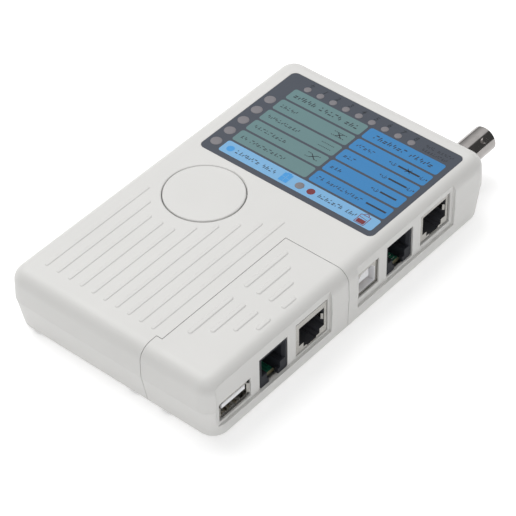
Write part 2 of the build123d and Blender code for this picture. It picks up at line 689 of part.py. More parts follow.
usb_y, usb_z, usb_face = USB_B["y"], USB_B["z"], USB_B["face"]
USB_B_MOUTH_Z = usb_z + 1.3
TONGUE_Z = (usb_z + 3.7, usb_z + 6.9)

with BuildPart() as usb_b_shell:
    box_between(
        (usb_face - USB_B_DEPTH, usb_face),
        (usb_y - USB_B_W / 2, usb_y + USB_B_W / 2),
        (usb_z, usb_z + USB_B_H),
    )
    fillet(usb_b_shell.edges().filter_by(Axis.X), 0.6)
    box_between(
        (usb_face - USB_B_DEPTH - 1, usb_face - SHEET),
        (usb_y - USB_B_W / 2 + SHEET, usb_y + USB_B_W / 2 - SHEET),
        (usb_z + SHEET, usb_z + USB_B_H - SHEET),
        mode=Mode.SUBTRACT,
    )
    with BuildSketch(Plane.YZ.offset(usb_face + 1)):
        usb_b_mouth(usb_y, USB_B_MOUTH_Z - 0.2, 9.3, 8.3, 2.2)
    extrude(amount=-3, mode=Mode.SUBTRACT)
    # mounting tabs that stand on the board
    for side in (-1, 1):
        y = usb_y + side * (USB_B_W / 2 - SHEET / 2)
        box_between((usb_face - 8, usb_face - 6), (y - SHEET / 2, y + SHEET / 2), (MAIN_BOARD_Z, usb_z + 1))
    # opening for the insulator's foot
    box_between(
        (usb_face - 14.2, usb_face - 2.8),
        (usb_y - 4.2, usb_y + 4.2),
        (usb_z - 1, usb_z + SHEET),
        mode=Mode.SUBTRACT,
    )
save(usb_b_shell, "usb_b_shell")

USB_B_CONTACT_Z = (TONGUE_Z[0] - 0.15, TONGUE_Z[1] + 0.15)
USB_B_CONTACTS = [(usb_y + side * 1.25, z) for side in (-1, 1) for z in USB_B_CONTACT_Z]

with BuildPart() as usb_b_contacts:
    for y, z in USB_B_CONTACTS:
        box_between((usb_face - 9.5, usb_face - 1.8), (y - 0.5, y + 0.5), (z - 0.15, z + 0.15))
save(usb_b_contacts, "usb_b_contacts")

with BuildPart() as usb_b_insulator:
    box_between(
        (usb_face - USB_B_DEPTH, usb_face - SHEET),
        (usb_y - USB_B_W / 2 + SHEET, usb_y + USB_B_W / 2 - SHEET),
        (usb_z + SHEET, usb_z + USB_B_H - SHEET),
    )
    fillet(usb_b_insulator.edges().filter_by(Axis.X), 0.4)
    with BuildSketch(Plane.YZ.offset(usb_face)):
        usb_b_mouth(usb_y, USB_B_MOUTH_Z, 8.6, 7.9, 1.9)
    extrude(amount=-10, mode=Mode.SUBTRACT)
    # tongue that the plug closes around
    box_between((usb_face - 11, usb_face - 1.5), (usb_y - 2.8, usb_y + 2.8), TONGUE_Z)
    # foot on the board
    box_between((usb_face - 14, usb_face - 3), (usb_y - 4, usb_y + 4), (MAIN_BOARD_Z, usb_z + SHEET + 0.2))
    add(usb_b_contacts.part, mode=Mode.SUBTRACT)
save(usb_b_insulator, "usb_b_insulator")

usb_y, usb_z, usb_face = USB_A["y"], USB_A["z"], USB_A["face"]
LIP_OUT = 0.65            # the lips of the mouth flare outwards by this much

with BuildPart() as usb_a_shell:
    body_face = usb_face - LIP_OUT
    box_between(
        (usb_face - USB_A_DEPTH, body_face),
        (usb_y - USB_A_W / 2, usb_y + USB_A_W / 2),
        (usb_z, usb_z + USB_A_H),
    )
    fillet(usb_a_shell.edges().filter_by(Axis.X), 0.5)
    box_between(
        (usb_face - USB_A_DEPTH + SHEET, body_face + 1),
        (usb_y - USB_A_W / 2 + SHEET, usb_y + USB_A_W / 2 - SHEET),
        (usb_z + SHEET, usb_z + USB_A_H - SHEET),
        mode=Mode.SUBTRACT,
    )
    # flared lips on the four sides of the mouth
    lip_reach = LIP_OUT + 0.25
    for side, flat_z in ((1, usb_z + USB_A_H), (-1, usb_z)):
        with BuildSketch(Plane.XZ.offset(-usb_y)):
            with BuildLine():
                Polyline(
                    (body_face - 0.25, flat_z),
                    (usb_face, flat_z + side * LIP_OUT),
                    (usb_face, flat_z + side * (LIP_OUT - 0.4)),
                    (body_face - 0.1, flat_z - side * SHEET),
                    (body_face - 0.25, flat_z - side * SHEET),
                    close=True,
                )
            make_face()
        extrude(amount=USB_A_W / 2 - 0.9, both=True)
    for side in (-1, 1):
        flat_y = usb_y + side * USB_A_W / 2
        with BuildSketch(Plane.XY.offset(usb_z + 0.9)):
            with BuildLine():
                Polyline(
                    (body_face - 0.25, flat_y),
                    (usb_face, flat_y + side * LIP_OUT),
                    (usb_face, flat_y + side * (LIP_OUT - 0.4)),
                    (body_face - 0.1, flat_y - side * SHEET),
                    (body_face - 0.25, flat_y - side * SHEET),
                    close=True,
                )
            make_face()
        extrude(amount=USB_A_H - 1.8)
    # legs down to the board
    for side in (-1, 1):
        y = usb_y + side * (USB_A_W / 2 - SHEET / 2)
        box_between((usb_face - 9, usb_face - 7), (y - SHEET / 2, y + SHEET / 2), (REMOTE_BOARD_Z, usb_z + 1))
save(usb_a_shell, "usb_a_shell")

A_TONGUE_Z = (usb_z + USB_A_H - 2.7, usb_z + USB_A_H - 0.8)

with BuildPart() as usb_a_contacts:
    contact_z = (A_TONGUE_Z[0] - 0.25, A_TONGUE_Z[0] + 0.05)
    for offset in (-3.5, -1.0, 1.0, 3.5):
        y = usb_y + offset
        box_between((usb_face - 9.0, usb_face - 2.4), (y - 0.5, y + 0.5), contact_z)
save(usb_a_contacts, "usb_a_contacts")

with BuildPart() as usb_a_tongue:
    box_between((usb_face - 11.0, usb_face - 0.5), (usb_y - 5.55, usb_y + 5.55), A_TONGUE_Z)
    fillet(usb_a_tongue.edges().group_by(Axis.X)[-1], 0.3)
    box_between(
        (usb_face - USB_A_DEPTH + SHEET, usb_face - 10.5),
        (usb_y - USB_A_W / 2 + SHEET + 0.1, usb_y + USB_A_W / 2 - SHEET - 0.1),
        (usb_z + SHEET, usb_z + USB_A_H - SHEET),
    )
    add(usb_a_contacts.part, mode=Mode.SUBTRACT)
save(usb_a_tongue, "usb_a_tongue")


# =====================================================================================
# Coaxial socket
# =====================================================================================

BLOCK_Y = (55.0, 67.5)
BLOCK_HALF = 7.2
BNC_AXIS = Plane(origin=(BNC_X, BNC_END_Y, PARTING_Z), x_dir=(1, 0, 0), z_dir=(0, 1, 0))
SLEEVE_D = 8.2            # bore of the outer barrel
INNER_D = 5.0             # insulator


def bnc_round(diameter, from_end, length, mode=Mode.ADD):
    """A round section on the socket's axis that starts from_end behind the mouth."""
    with Locations(BNC_AXIS.offset(-from_end)):
        Cylinder(diameter / 2, length, align=DOWN, mode=mode)


BARREL_LENGTH = BNC_END_Y - BLOCK_Y[0]

with BuildPart() as bnc_barrel:
    bnc_round(BNC_D, 0, BARREL_LENGTH)
    # ring-shaped space that the plug's sleeve enters, round a thin inner collar
    bnc_round(SLEEVE_D, 0, 9.6, mode=Mode.SUBTRACT)
    bnc_round(INNER_D + 1.4, 1.4, BARREL_LENGTH - 1.4)
    bnc_round(INNER_D, 0, BARREL_LENGTH - 2, mode=Mode.SUBTRACT)
    mouth_rim = bnc_barrel.faces().sort_by(Axis.Y)[-1].outer_wire().edges()
    chamfer(mouth_rim, 0.35)
    # two bayonet lugs
    for angle in (LUG_ANGLE, LUG_ANGLE + 180):
        with Locations(Location((BNC_X, BNC_END_Y - 5.1, PARTING_Z), (0, 90 - angle, 0))):
            with Locations((0, 0, BNC_D / 2 - 0.4)):
                Cylinder(1.0, 1.1, align=UP)
save(bnc_barrel, "bnc_barrel")

CENTRE_CONTACT_D = 2.2

with BuildPart() as bnc_insulator:
    bnc_round(INNER_D, 1.6, BARREL_LENGTH - 4)
    bnc_round(CENTRE_CONTACT_D, 0, BARREL_LENGTH, mode=Mode.SUBTRACT)
save(bnc_insulator, "bnc_insulator")

with BuildPart() as bnc_centre_contact:
    bnc_round(CENTRE_CONTACT_D, 1.8, BARREL_LENGTH - 4.5)
    bnc_round(1.4, 0, 7.8, mode=Mode.SUBTRACT)
save(bnc_centre_contact, "bnc_centre_contact")

with BuildPart() as bnc_block:
    box_between((BNC_X - BLOCK_HALF, BNC_X + BLOCK_HALF), BLOCK_Y, (MAIN_BOARD_Z, PARTING_Z + 7.0))
    chamfer(bnc_block.edges().filter_by(Axis.Y), 0.8)
    bnc_round(BNC_D, 0, BARREL_LENGTH, mode=Mode.SUBTRACT)
save(bnc_block, "bnc_block")


# =====================================================================================
# Battery
# =====================================================================================

battery_mid_y = sum(BATTERY_Y) / 2
battery_mid_z = sum(BATTERY_Z) / 2
STUD_H = 2.1
SNAP_T = 2.9

CAN_T = 0.3
CAN_CORNER_R = 2.4
CAN_END_T = 1.2           # closed end, away from the terminals
CELL_D = 8.2
CELL_LENGTH = 43.0

with BuildPart() as battery_case:
    box_between(BATTERY_X, BATTERY_Y, BATTERY_Z)
    fillet(battery_case.edges().filter_by(Axis.X), CAN_CORNER_R)
    fillet(battery_case.faces().sort_by(Axis.X)[0].edges(), 1.0)
    with BuildSketch(Plane.YZ.offset(BATTERY_X[0] + CAN_END_T)):
        with Locations((battery_mid_y, battery_mid_z)):
            RectangleRounded(
                BATTERY_Y[1] - BATTERY_Y[0] - 2 * CAN_T,
                BATTERY_Z[1] - BATTERY_Z[0] - 2 * CAN_T,
                CAN_CORNER_R - CAN_T,
            )
    extrude(amount=BATTERY_X[1] - BATTERY_X[0] - CAN_END_T - CAN_T, mode=Mode.SUBTRACT)
save(battery_case, "battery_case")

# six cells: three side by side along Y, in two layers
with BuildPart() as battery_cells:
    with BuildSketch(Plane.YZ.offset(BATTERY_X[0] + CAN_END_T + 0.4)):
        with Locations((battery_mid_y, battery_mid_z)):
            with GridLocations(CELL_D + 0.2, CELL_D + 0.2, 3, 2):
                Circle(CELL_D / 2)
    extrude(amount=CELL_LENGTH)
save(battery_cells, "battery_cells")

with BuildPart() as battery_studs:
    for y, diameter in ((battery_mid_y - STUD_SPACING / 2, 5.6), (battery_mid_y + STUD_SPACING / 2, 8.0)):
        with BuildSketch(Plane.YZ.offset(BATTERY_X[1])):
            with Locations((y, battery_mid_z)):
                Circle(diameter / 2)
        extrude(amount=STUD_H)
save(battery_studs, "battery_studs")

WIRE_D = 1.5
RED_LEAD_Z = battery_mid_z + 1.6
BLACK_LEAD_Z = battery_mid_z - 1.6
snap_end_y = battery_mid_y + 12.7
snap_mid_x = BATTERY_X[1] + SNAP_T / 2

with BuildPart() as battery_snap:
    with BuildSketch(Plane.YZ.offset(BATTERY_X[1])):
        with Locations((battery_mid_y, battery_mid_z)):
            SlotOverall(25.4, 12.4)
    extrude(amount=SNAP_T)
    fillet(battery_snap.faces().sort_by(Axis.X)[-1].edges(), 0.6)
    add(battery_studs.part, mode=Mode.SUBTRACT)
    # the two leads leave at the end
    with Locations((snap_mid_x, snap_end_y, RED_LEAD_Z), (snap_mid_x, snap_end_y, BLACK_LEAD_Z)):
        Cylinder(WIRE_D / 2, 3, rotation=(90, 0, 0), mode=Mode.SUBTRACT)
save(battery_snap, "battery_snap")


def battery_lead(z, pad_x, name):
    """A lead from the battery snap to its pad on the main board."""
    route = [
        (snap_mid_x, snap_end_y - 1.5, z),
        (snap_mid_x, -20.0, z),
        ((snap_mid_x + pad_x) / 2, -6.0, 13.4),
        (pad_x, 3.2, 13.4),
        (pad_x, 4.2, MAIN_BOARD_Z),
    ]
    with BuildPart() as lead:
        with BuildLine():
            FilletPolyline(*route, radius=[7.0, 5.5, 3.0])
        start = Plane(origin=route[0], z_dir=(0, 1, 0))
        with BuildSketch(start):
            Circle(WIRE_D / 2)
        sweep()
        # trim the end square with the board
        box_between((pad_x - 3, pad_x + 3), (0, 8), (MAIN_BOARD_Z - 3, MAIN_BOARD_Z), mode=Mode.SUBTRACT)
    save(lead, name)


battery_lead(RED_LEAD_Z, 2.0, "battery_lead_red")
battery_lead(BLACK_LEAD_Z, 7.0, "battery_lead_black")


# =====================================================================================
# Remote unit
# =====================================================================================

REMOTE_RIB_X = [21.6 + 5.1 * i for i in range(4)]
FAR_RIBS = [(x, -30.0, -8.8 - 4.85 * i) for i, x in enumerate(REMOTE_RIB_X)]
NEAR_RIBS = [(x, -56.9 + 4.85 * i, -35.8) for i, x in enumerate(REMOTE_RIB_X)]

with BuildPart() as remote_upper_shell:
    add(hollow_half(UPPER_BLOCK, UPPER_CAVITY, -1))
    add(grip_ribs(FAR_RIBS + NEAR_RIBS, **REMOTE_RIB))
    pegs(REMOTE_SCREWS, 6.0, PARTING_Z, CEILING_Z + 0.4)
    pegs(REMOTE_SCREWS, SCREW_D, PARTING_Z, PARTING_Z + 7, mode=Mode.SUBTRACT)
    cut_remote_openings()
save(remote_upper_shell, "remote_upper_shell")

with BuildPart() as remote_lower_shell:
    add(hollow_half(LOWER_BLOCK, LOWER_CAVITY, -1))
    pegs(REMOTE_SCREWS, 6.8, 0.4, PARTING_Z)
    add(LOWER_BLOCK, mode=Mode.INTERSECT)
    # board rests
    board_under_z = REMOTE_BOARD_Z - BOARD_T
    for y in (-62.0, -45.0, -18.0):
        box_between((27.0, 37.0), (y - 0.8, y + 0.8), (FLOOR_Z - 0.4, board_under_z))
    # slot for the rail: the neck runs through the side wall, the head through the far end wall
    neck_z = (RAIL_Z - NECK_H / 2 - RAIL_PLAY, RAIL_Z + NECK_H / 2 + RAIL_PLAY)
    head_z = (RAIL_Z - HEAD_H / 2 - RAIL_PLAY, RAIL_Z + HEAD_H / 2 + RAIL_PLAY)
    slot_y = (RAIL_FROM_Y - RAIL_PLAY, BAY_Y + 1)
    box_between((BAY_X - 1, NECK_END_X), slot_y, neck_z, mode=Mode.SUBTRACT)
    box_between((BAY_X + SEAM + WALL, HEAD_END_X + RAIL_PLAY), slot_y, head_z, mode=Mode.SUBTRACT)
    # screw holes, entered from below
    pegs(REMOTE_SCREWS, SCREW_D + 0.4, 0, PARTING_Z, mode=Mode.SUBTRACT)
    pegs(REMOTE_SCREWS, SCREW_HEAD_D + 0.4, -1, SCREW_SEAT_Z, mode=Mode.SUBTRACT)
    cut_remote_openings()
save(remote_lower_shell, "remote_lower_shell")

with BuildPart() as remote_board:
    box_between((25.4, BOARD_EDGE_X), (-66.4, -13.8), (REMOTE_BOARD_Z - BOARD_T, REMOTE_BOARD_Z))
    pegs([REMOTE_SCREWS[0]], 7.4, 0, BODY_H, mode=Mode.SUBTRACT)
save(remote_board, "remote_board")

REMOTE_CHIPS = [(29.0, -31.6), (33.0, -31.6), (29.0, -49.4), (33.0, -49.4), (37.0, -49.4)]

with BuildPart() as remote_diodes:
    with Locations(*[(x, y, REMOTE_BOARD_Z + 0.7) for x, y in REMOTE_CHIPS]):
        Cylinder(0.7, 2.6, rotation=(90, 0, 0))
save(remote_diodes, "remote_diodes")


# =====================================================================================
# Screws
# =====================================================================================

def screw_group(spots, seat_z, shank_d, head_d, head_h, length, name, head_up=False):
    """Pan-head screws with a cross recess. The shank runs from the seat away from the head."""
    away = -1 if head_up else 1
    with BuildPart() as screws:
        for x, y in spots:
            with Locations(Location((x, y, seat_z), (0, 0 if away > 0 else 180, 0))):
                Cylinder(shank_d / 2, length, align=UP)
                Cylinder(head_d / 2, head_h, align=DOWN)
                with Locations((0, 0, -head_h)):
                    Box(head_d * 0.55, head_d * 0.16, head_h * 1.1, mode=Mode.SUBTRACT)
                    Box(head_d * 0.16, head_d * 0.55, head_h * 1.1, mode=Mode.SUBTRACT)
    save(screws, name)


screw_group(MAIN_SCREWS, SCREW_SEAT_Z, SCREW_D, SCREW_HEAD_D, 1.8, 15.0, "main_case_screws")
screw_group(REMOTE_SCREWS, SCREW_SEAT_Z, SCREW_D, SCREW_HEAD_D, 1.8, 15.0, "remote_case_screws")
screw_group(MAIN_BOARD_SCREWS, MAIN_BOARD_Z, BOARD_SCREW_D, 3.6, 1.2, 5.0, "main_board_screws", head_up=True)
screw_group(DISPLAY_BOARD_SCREWS, DISPLAY_UNDER_Z, BOARD_SCREW_D, 3.6, 1.2, 5.0, "display_board_screws")
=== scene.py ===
"""Looks of the network cable tester: materials, printed panel, small details, floor, light and camera.

Lengths in this script are millimetres times MM, in the CAD model's own frame: +X towards the side
sockets, +Y towards the coaxial socket, +Z up from the table.
"""
import json
import math
import random

import bmesh
import bpy
from mathutils import Matrix, Vector


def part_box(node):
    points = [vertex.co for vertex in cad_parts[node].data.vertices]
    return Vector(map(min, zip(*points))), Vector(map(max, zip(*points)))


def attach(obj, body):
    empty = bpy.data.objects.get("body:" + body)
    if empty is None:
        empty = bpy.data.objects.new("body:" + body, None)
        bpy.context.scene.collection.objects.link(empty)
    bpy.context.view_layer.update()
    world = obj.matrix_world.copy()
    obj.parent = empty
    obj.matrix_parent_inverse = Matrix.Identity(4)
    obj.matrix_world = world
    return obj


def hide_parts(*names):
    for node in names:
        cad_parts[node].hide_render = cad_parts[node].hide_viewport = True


MM = 0.001

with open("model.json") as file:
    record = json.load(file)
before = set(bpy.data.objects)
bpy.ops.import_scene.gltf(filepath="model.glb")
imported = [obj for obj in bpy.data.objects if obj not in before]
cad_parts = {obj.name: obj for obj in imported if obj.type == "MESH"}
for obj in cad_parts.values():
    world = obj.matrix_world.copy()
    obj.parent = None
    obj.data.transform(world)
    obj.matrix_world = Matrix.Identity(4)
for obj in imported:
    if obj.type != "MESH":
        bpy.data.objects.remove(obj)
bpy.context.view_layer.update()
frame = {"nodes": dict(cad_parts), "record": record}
NODES = frame["nodes"]
PANEL_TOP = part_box("panel_label")[1].z


# =====================================================================================
# Materials
# =====================================================================================

class Surface:
    """One procedural material, built up step by step round a Principled shader."""

    def __init__(self, name, colour, roughness, metallic=0.0, **sockets):
        self.material = bpy.data.materials.new(name)
        self.material.use_nodes = True
        self.tree = self.material.node_tree
        self.shader = self.tree.nodes["Principled BSDF"]
        self.colour = colour
        self.roughness = roughness
        self.shader.inputs["Base Color"].default_value = (*colour, 1.0)
        self.shader.inputs["Roughness"].default_value = roughness
        self.shader.inputs["Metallic"].default_value = metallic
        for socket, value in sockets.items():
            self.shader.inputs[socket.replace("_", " ")].default_value = value
        self.coordinates = self.node("ShaderNodeTexCoord").outputs["Object"]
        self.normal = None

    def node(self, kind, **settings):
        made = self.tree.nodes.new(kind)
        for key, value in settings.items():
            setattr(made, key, value)
        return made

    def link(self, source, target):
        self.tree.links.new(source, target)

    def stretched(self, stretch):
        """Object coordinates, scaled by a factor on each axis."""
        mapping = self.node("ShaderNodeMapping")
        mapping.inputs["Scale"].default_value = stretch
        self.link(self.coordinates, mapping.inputs["Vector"])
        return mapping.outputs["Vector"]

    def noise(self, size, detail=3.0, stretch=None):
        """Noise with features of about the given size, from 0 to 1."""
        texture = self.node("ShaderNodeTexNoise")
        texture.inputs["Scale"].default_value = 1.0 / size
        texture.inputs["Detail"].default_value = detail
        vector = self.stretched(stretch) if stretch else self.coordinates
        self.link(vector, texture.inputs["Vector"])
        return texture.outputs["Fac"]

    def ranged(self, value, low, high, from_low=0.3, from_high=0.7):
        """The value, mapped from one range to another."""
        mapped = self.node("ShaderNodeMapRange")
        mapped.inputs["From Min"].default_value = from_low
        mapped.inputs["From Max"].default_value = from_high
        mapped.inputs["To Min"].default_value = low
        mapped.inputs["To Max"].default_value = high
        self.link(value, mapped.inputs["Value"])
        return mapped.outputs["Result"]

    def mix_in(self, other, share):
        """Mixes another colour into the base colour, by a share that varies over the surface."""
        mix = self.node("ShaderNodeMix", data_type="RGBA")
        previous = self.shader.inputs["Base Color"]
        if previous.is_linked:
            self.link(previous.links[0].from_socket, mix.inputs["A"])
        else:
            mix.inputs["A"].default_value = previous.default_value
        mix.inputs["B"].default_value = (*other, 1.0)
        self.link(share, mix.inputs["Factor"])
        self.link(mix.outputs["Result"], previous)
        return self

    def tint(self, size, amount, detail=3.0, stretch=None):
        """Lets the colour darken a little here and there, in patches of the given size."""
        darker = [channel * (1.0 - amount) for channel in self.colour]
        return self.mix_in(darker, self.ranged(self.noise(size, detail, stretch), 0.0, 1.0))

    def vary_roughness(self, size, amount, stretch=None):
        low = self.roughness - amount
        high = self.roughness + amount
        self.link(self.ranged(self.noise(size, 4.0, stretch), low, high), self.shader.inputs["Roughness"])
        return self

    def bump(self, height, depth):
        """Adds a bump of the given depth. Bumps add up in the order that they are given."""
        bump = self.node("ShaderNodeBump")
        bump.inputs["Distance"].default_value = depth
        self.link(height, bump.inputs["Height"])
        if self.normal is not None:
            self.link(self.normal, bump.inputs["Normal"])
        self.normal = bump.outputs["Normal"]
        self.link(self.normal, self.shader.inputs["Normal"])
        return self

    def soft_edges(self, radius):
        """Rounds the look of sharp edges by the given radius. It comes before the bumps."""
        bevel = self.node("ShaderNodeBevel", samples=4)
        bevel.inputs["Radius"].default_value = radius
        self.normal = bevel.outputs["Normal"]
        self.link(self.normal, self.shader.inputs["Normal"])
        return self

    def upright_faces(self, other):
        """Gives another colour to the faces that stand upright, such as the cut edges of a board."""
        normal = self.node("ShaderNodeTexCoord").outputs["Normal"]
        parts = self.node("ShaderNodeSeparateXYZ")
        self.link(normal, parts.inputs["Vector"])
        flat = self.node("ShaderNodeMath", operation="ABSOLUTE")
        self.link(parts.outputs["Z"], flat.inputs[0])
        return self.mix_in(other, self.ranged(flat.outputs["Value"], 1.0, 0.0, 0.4, 0.6))


def moulded(name, colour, roughness, grain=0.0015 * MM, edge=0.22 * MM, **sockets):
    """Moulded plastic: soft edges, a fine spark-eroded grain and a slight unevenness."""
    surface = Surface(name, colour, roughness, **sockets)
    surface.soft_edges(edge)
    surface.tint(24 * MM, 0.025)
    surface.vary_roughness(5 * MM, 0.035)
    surface.bump(surface.noise(3.2 * MM, 2.0), 0.006 * MM)
    surface.bump(surface.noise(0.16 * MM, 2.0), grain)
    return surface


def plated(name, colour, roughness, stretch, edge=0.08 * MM):
    """Bright plated sheet or turned metal, with marks drawn out along one direction."""
    surface = Surface(name, colour, roughness, metallic=1.0)
    surface.soft_edges(edge)
    surface.tint(3 * MM, 0.12)
    surface.vary_roughness(0.8 * MM, 0.06, stretch)
    surface.bump(surface.noise(0.22 * MM, 3.0, stretch), 0.0016 * MM)
    return surface


def printed(name, colour):
    """Ink behind the panel's satin film. The film's fine texture is the same over every ink."""
    surface = Surface(name, colour, 0.42, Specular_IOR_Level=0.30)
    surface.tint(9 * MM, 0.03)
    surface.tint(0.35 * MM, 0.05, detail=1.0)
    surface.vary_roughness(6 * MM, 0.03)
    surface.bump(surface.noise(0.22 * MM, 2.0), 0.003 * MM)
    return surface


def solder_mask():
    """Green board: mask with faint tracks under it, and pale cut edges of glass laminate."""
    surface = Surface("board_green", (0.010, 0.095, 0.064), 0.32)
    tracks = surface.node("ShaderNodeTexBrick", offset=0.35, squash=1.4, squash_frequency=3)
    tracks.inputs["Scale"].default_value = 1.0 / (5.5 * MM)
    tracks.inputs["Mortar Size"].default_value = 0.05
    surface.link(surface.coordinates, tracks.inputs["Vector"])
    surface.mix_in((0.03, 0.27, 0.14), tracks.outputs["Fac"])
    surface.tint(4 * MM, 0.10)
    surface.upright_faces((0.50, 0.47, 0.30))
    surface.bump(tracks.outputs["Fac"], 0.03 * MM)
    surface.bump(surface.noise(0.3 * MM), 0.006 * MM)
    return surface


def lacquered_resistor():
    """Resistor bodies: beige lacquer with thin darker rings round them."""
    surface = Surface("resistor_body", (0.56, 0.40, 0.24), 0.35)
    rings = surface.node("ShaderNodeTexWave", wave_type="BANDS", bands_direction="Y")
    rings.inputs["Scale"].default_value = 0.32 / MM
    surface.link(surface.coordinates, rings.inputs["Vector"])
    surface.mix_in((0.12, 0.03, 0.02), surface.ranged(rings.outputs["Fac"], 0.0, 1.0, 0.8, 0.9))
    surface.bump(surface.noise(0.5 * MM), 0.01 * MM)
    return surface


WHITE = (0.69, 0.685, 0.668)
NICKEL = (0.43, 0.42, 0.395)
ALONG_X = (0.08, 1.0, 1.0)        # marks drawn out along X
ROUND_Y = (0.15, 1.0, 0.15)       # marks drawn out round a bar that lies along Y

SURFACES = {
    "case_plastic": moulded("case_plastic", WHITE, 0.44),
    "button_plastic": moulded("button_plastic", WHITE, 0.38, grain=0.0010 * MM),
    "panel_print": printed("panel_print", (0.054, 0.064, 0.086)),
    "window_film": printed("window_film", (0.205, 0.195, 0.210)),
    "led_epoxy": moulded("led_epoxy", (0.55, 0.48, 0.48), 0.22),
    "lead_tinned": plated("lead_tinned", (0.66, 0.65, 0.62), 0.34, ALONG_X),
    "board_green": solder_mask(),
    "moulded_black": moulded("moulded_black", (0.022, 0.022, 0.024), 0.55, grain=0.004 * MM),
    "switch_plunger": moulded("switch_plunger", (0.05, 0.05, 0.05), 0.42),
    "crystal_can": plated("crystal_can", (0.68, 0.67, 0.65), 0.25, ALONG_X),
    "capacitor_sleeve": moulded("capacitor_sleeve", (0.02, 0.03, 0.07), 0.30),
    "resistor_body": lacquered_resistor(),
    "jack_black": moulded("jack_black", (0.050, 0.052, 0.060), 0.42, edge=0.12 * MM),
    "jack_grey": moulded("jack_grey", (0.024, 0.026, 0.032), 0.50, edge=0.15 * MM, Specular_IOR_Level=0.12),
    "shield_nickel": plated("shield_nickel", NICKEL, 0.24, ALONG_X),
    "contact_gold": plated("contact_gold", (0.83, 0.62, 0.28), 0.22, ALONG_X),
    "usb_white": moulded("usb_white", (0.90, 0.90, 0.92), 0.40, edge=0.15 * MM),
    "bnc_nickel": plated("bnc_nickel", (0.385, 0.365, 0.355), 0.10, ROUND_Y, edge=0.12 * MM),
    "bnc_insulator": moulded("bnc_insulator", (0.80, 0.80, 0.77), 0.50),
    "bnc_block": moulded("bnc_block", (0.035, 0.035, 0.038), 0.50),
    "battery_wrap": plated("battery_wrap", (0.06, 0.06, 0.065), 0.30, ALONG_X),
    "battery_cells": plated("battery_cells", (0.60, 0.60, 0.58), 0.35, ALONG_X),
    "battery_terminal": plated("battery_terminal", NICKEL, 0.25, ALONG_X),
    "lead_red": moulded("lead_red", (0.38, 0.012, 0.012), 0.38),
    "lead_black": moulded("lead_black", (0.014, 0.014, 0.014), 0.38),
    "screw_steel": plated("screw_steel", (0.56, 0.56, 0.55), 0.30, ALONG_X),
}

for subpart in frame["record"]["subparts"]:
    slots = NODES[subpart["node"]].data.materials
    slots.clear()
    slots.append(SURFACES[subpart["material_slot"]].material)


# =====================================================================================
# Mesh helpers
# =====================================================================================

def piece_from(bm, name, surface, body):
    """Turns a finished bmesh into a piece that rides on a body."""
    bmesh.ops.recalc_face_normals(bm, faces=bm.faces)
    mesh = bpy.data.meshes.new(name)
    bm.to_mesh(mesh)
    bm.free()
    piece = bpy.data.objects.new(name, mesh)
    bpy.context.scene.collection.objects.link(piece)
    mesh.materials.append(surface.material)
    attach(piece, body)
    return piece


def add_prism(bm, outline, low, high):
    """Adds an upright prism on an (x, y) outline, between two heights."""
    bottom = [bm.verts.new((x, y, low)) for x, y in outline]
    top = [bm.verts.new((x, y, high)) for x, y in outline]
    bm.faces.new(top)
    bm.faces.new(reversed(bottom))
    for i in range(len(outline)):
        j = (i + 1) % len(outline)
        bm.faces.new((bottom[i], bottom[j], top[j], top[i]))


def arc(centre, radius, from_angle, to_angle, steps):
    """Points along an arc, angles in degrees."""
    points = []
    for i in range(steps + 1):
        angle = math.radians(from_angle + (to_angle - from_angle) * i / steps)
        points.append((centre[0] + radius * math.cos(angle), centre[1] + radius * math.sin(angle)))
    return points


def circle(centre, radius, sides):
    """Points round a circle, without repeating the first."""
    return arc(centre, radius, 0, 360 - 360 / sides, sides - 1)


def rounded_rectangle(x, y, radius):
    """Outline of a rectangle with round corners, over the ranges x and y."""
    steps = 8
    outline = []
    outline += arc((x[1] - radius, y[1] - radius), radius, 0, 90, steps)
    outline += arc((x[0] + radius, y[1] - radius), radius, 90, 180, steps)
    outline += arc((x[0] + radius, y[0] + radius), radius, 180, 270, steps)
    outline += arc((x[1] - radius, y[0] + radius), radius, 270, 360, steps)
    return outline


def islands(node):
    """The boxes (low corner, high corner) of a node's separate solids, sorted by place."""
    same_place = 0.001 * MM
    decimals = 4
    mesh = NODES[node].data
    parent = list(range(len(mesh.vertices)))
    by_place = {}

    def root(i):
        while parent[i] != i:
            parent[i] = parent[parent[i]]
            i = parent[i]
        return i

    for vertex in mesh.vertices:
        place = tuple(round(c / same_place) for c in vertex.co)
        parent[root(vertex.index)] = root(by_place.setdefault(place, vertex.index))
    for edge in mesh.edges:
        parent[root(edge.vertices[0])] = root(edge.vertices[1])
    groups = {}
    for vertex in mesh.vertices:
        groups.setdefault(root(vertex.index), []).append(vertex.co)
    boxes = []
    for points in groups.values():
        low = Vector([min(p[axis] for p in points) for axis in range(3)])
        high = Vector([max(p[axis] for p in points) for axis in range(3)])
        boxes.append((low, high))
    return sorted(boxes, key=lambda box: (round(box[0].y, decimals), round(box[0].x, decimals)))


# =====================================================================================
# Printed panel: coloured fields, marks in place of lettering, digits and small signs
# =====================================================================================

INK = {
    "print_green": printed("print_green", (0.124, 0.228, 0.236)),
    "print_blue": printed("print_blue", (0.030, 0.212, 0.490)),
    "print_pale": printed("print_pale", (0.190, 0.425, 0.690)),
    "print_sky": printed("print_sky", (0.052, 0.308, 0.690)),
    "print_red": printed("print_red", (0.180, 0.020, 0.027)),
    "print_dark": printed("print_dark", (0.016, 0.022, 0.032)),
}
FIELD_LAYER = (PANEL_TOP + 0.002 * MM, PANEL_TOP + 0.012 * MM)
MARK_LAYER = (PANEL_TOP + 0.010 * MM, PANEL_TOP + 0.022 * MM)
TOP_MARK_LAYER = (PANEL_TOP + 0.018 * MM, PANEL_TOP + 0.030 * MM)

